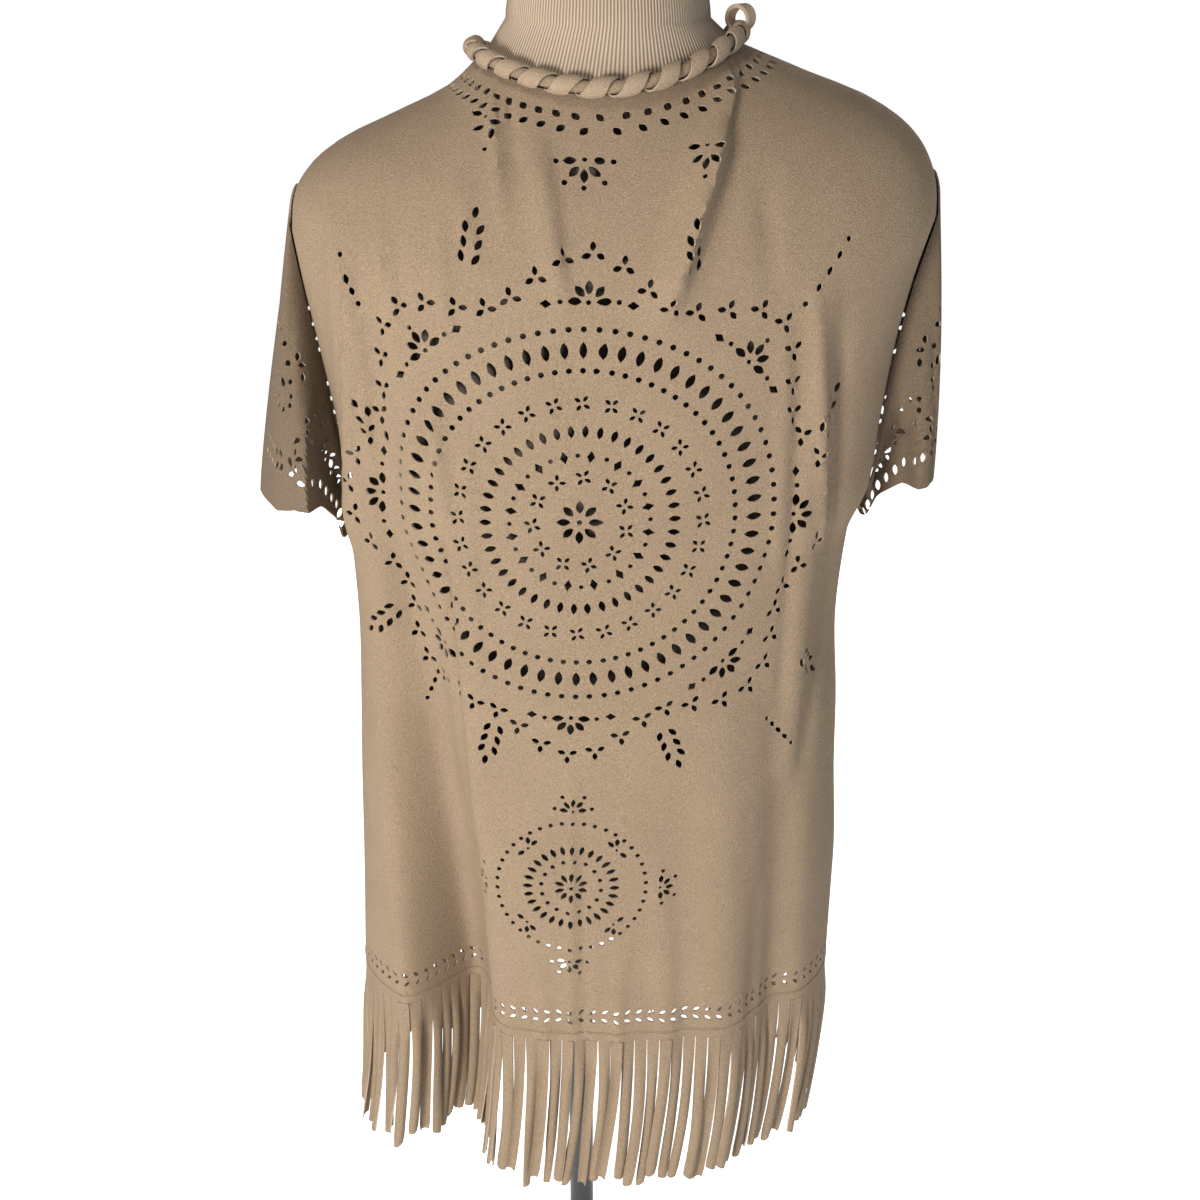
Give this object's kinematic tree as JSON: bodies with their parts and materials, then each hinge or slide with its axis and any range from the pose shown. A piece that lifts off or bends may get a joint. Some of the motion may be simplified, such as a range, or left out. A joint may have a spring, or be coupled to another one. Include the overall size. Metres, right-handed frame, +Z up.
{
  "type": "fringed kimono on a limbless dress form",
  "caption": "Short-sleeved cutwork kimono with a thong-bound neck and a fringed hem, open down the front, on a dress form with a pole and a round base.",
  "frame": {"origin": "middle of the base's underside, on the floor", "axes": "+Z up along the pole; +Y to the wearer's front, so the back of the garment faces -Y; the wearer's left is -X"},
  "size_m": [0.4636, 0.3, 1.202],
  "materials": {
    "suede": "brushed matte nap, sand",
    "jersey": "ribbed matte knit, off-white",
    "black_steel": "satin black powder coat"
  },
  "bodies": {
    "root": {"back": "suede", "front_left": "suede", "front_right": "suede", "sleeve_left": "suede", "sleeve_right": "suede", "neck_binding": "suede", "fringe_back": "suede", "fringe_front_left": "suede", "fringe_front_right": "suede", "form_body": "jersey", "neck_cap": "black_steel", "pole_collar": "black_steel", "pole": "black_steel", "base": "black_steel"}
  },
  "joints": []
}
